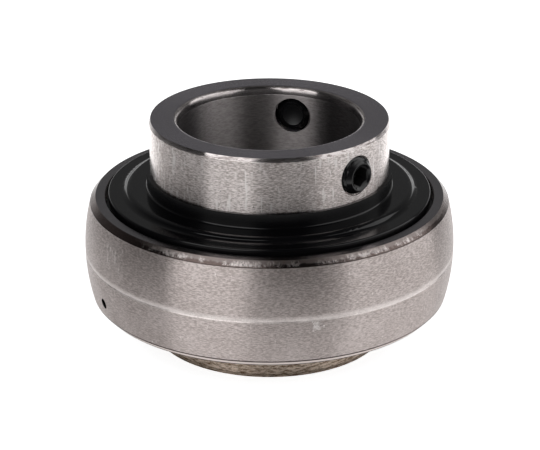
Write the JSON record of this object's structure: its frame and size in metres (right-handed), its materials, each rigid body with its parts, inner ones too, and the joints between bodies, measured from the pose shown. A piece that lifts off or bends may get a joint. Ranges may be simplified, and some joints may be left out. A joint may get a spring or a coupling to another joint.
{
  "type": "insert bearing",
  "caption": "Ball bearing insert with a spherical outer ring, a long inner ring clamped to its shaft by set screws, and black flinger discs over the seals.",
  "frame": {"origin": "centre of the outer ring's spherical seat, on the bore axis", "axes": "+Z along the bore, towards the set-screw end; +X through the first set screw"},
  "size_m": [0.062, 0.062, 0.0381],
  "materials": {
    "ground_steel": "ground, fine turning marks",
    "ball_steel": "polished",
    "cage_steel": "pressed, dull",
    "seal_steel": "phosphated",
    "seal_rubber": "moulded",
    "flinger_black": "gloss black",
    "screw_black": "oiled black oxide"
  },
  "bodies": {
    "outer": {"outer_ring": "ground_steel", "upper_seal_insert": "seal_steel", "upper_seal_lip": "seal_rubber", "lower_seal_insert": "seal_steel", "lower_seal_lip": "seal_rubber"},
    "inner": {"inner_ring": "ground_steel", "upper_flinger": "flinger_black", "lower_flinger": "flinger_black"},
    "cage": {"cage_upper_half": "cage_steel", "cage_lower_half": "cage_steel", "cage_rivets": "cage_steel"},
    "ball_1_body": {"ball_1": "ball_steel"},
    "ball_2_body": {"ball_2": "ball_steel"},
    "ball_3_body": {"ball_3": "ball_steel"},
    "ball_4_body": {"ball_4": "ball_steel"},
    "ball_5_body": {"ball_5": "ball_steel"},
    "ball_6_body": {"ball_6": "ball_steel"},
    "ball_7_body": {"ball_7": "ball_steel"},
    "ball_8_body": {"ball_8": "ball_steel"},
    "ball_9_body": {"ball_9": "ball_steel"},
    "set_screw_1_body": {"set_screw_1": "screw_black"},
    "set_screw_2_body": {"set_screw_2": "screw_black"}
  },
  "joints": [
    {"name": "inner_spin", "type": "hinge", "parent": "outer", "child": "inner", "pos_m": [0, 0, 0], "axis": [0, 0, 1], "continuous": true},
    {"name": "cage_spin", "type": "hinge", "parent": "outer", "child": "cage", "pos_m": [0, 0, 0], "axis": [0, 0, 1], "continuous": true},
    {"name": "ball_1_roll", "type": "hinge", "parent": "cage", "child": "ball_1_body", "pos_m": [0.023, 0, 0], "axis": [0, 0, 1], "continuous": true},
    {"name": "ball_2_roll", "type": "hinge", "parent": "cage", "child": "ball_2_body", "pos_m": [0.01762, 0.01478, 0], "axis": [0, 0, 1], "continuous": true},
    {"name": "ball_3_roll", "type": "hinge", "parent": "cage", "child": "ball_3_body", "pos_m": [0.00399, 0.02265, 0], "axis": [0, 0, 1], "continuous": true},
    {"name": "ball_4_roll", "type": "hinge", "parent": "cage", "child": "ball_4_body", "pos_m": [-0.0115, 0.01992, 0], "axis": [0, 0, 1], "continuous": true},
    {"name": "ball_5_roll", "type": "hinge", "parent": "cage", "child": "ball_5_body", "pos_m": [-0.02161, 0.00787, 0], "axis": [0, 0, 1], "continuous": true},
    {"name": "ball_6_roll", "type": "hinge", "parent": "cage", "child": "ball_6_body", "pos_m": [-0.02161, -0.00787, 0], "axis": [0, 0, 1], "continuous": true},
    {"name": "ball_7_roll", "type": "hinge", "parent": "cage", "child": "ball_7_body", "pos_m": [-0.0115, -0.01992, 0], "axis": [0, 0, 1], "continuous": true},
    {"name": "ball_8_roll", "type": "hinge", "parent": "cage", "child": "ball_8_body", "pos_m": [0.00399, -0.02265, 0], "axis": [0, 0, 1], "continuous": true},
    {"name": "ball_9_roll", "type": "hinge", "parent": "cage", "child": "ball_9_body", "pos_m": [0.01762, -0.01478, 0], "axis": [0, 0, 1], "continuous": true},
    {"name": "set_screw_1_travel", "type": "slide", "parent": "inner", "child": "set_screw_1_body", "axis": [1, 0, 0], "range_m": [-0.001, 0.003]},
    {"name": "set_screw_2_travel", "type": "slide", "parent": "inner", "child": "set_screw_2_body", "axis": [-0.5, 0.866, 0], "range_m": [-0.001, 0.003]}
  ],
  "couplings": [
    {"joint": "cage_spin", "follows": "inner_spin", "ratio": 0.39647},
    {"joint": "ball_1_roll", "follows": "inner_spin", "ratio": -2.3112},
    {"joint": "ball_2_roll", "follows": "inner_spin", "ratio": -2.3112},
    {"joint": "ball_3_roll", "follows": "inner_spin", "ratio": -2.3112},
    {"joint": "ball_4_roll", "follows": "inner_spin", "ratio": -2.3112},
    {"joint": "ball_5_roll", "follows": "inner_spin", "ratio": -2.3112},
    {"joint": "ball_6_roll", "follows": "inner_spin", "ratio": -2.3112},
    {"joint": "ball_7_roll", "follows": "inner_spin", "ratio": -2.3112},
    {"joint": "ball_8_roll", "follows": "inner_spin", "ratio": -2.3112},
    {"joint": "ball_9_roll", "follows": "inner_spin", "ratio": -2.3112}
  ]
}
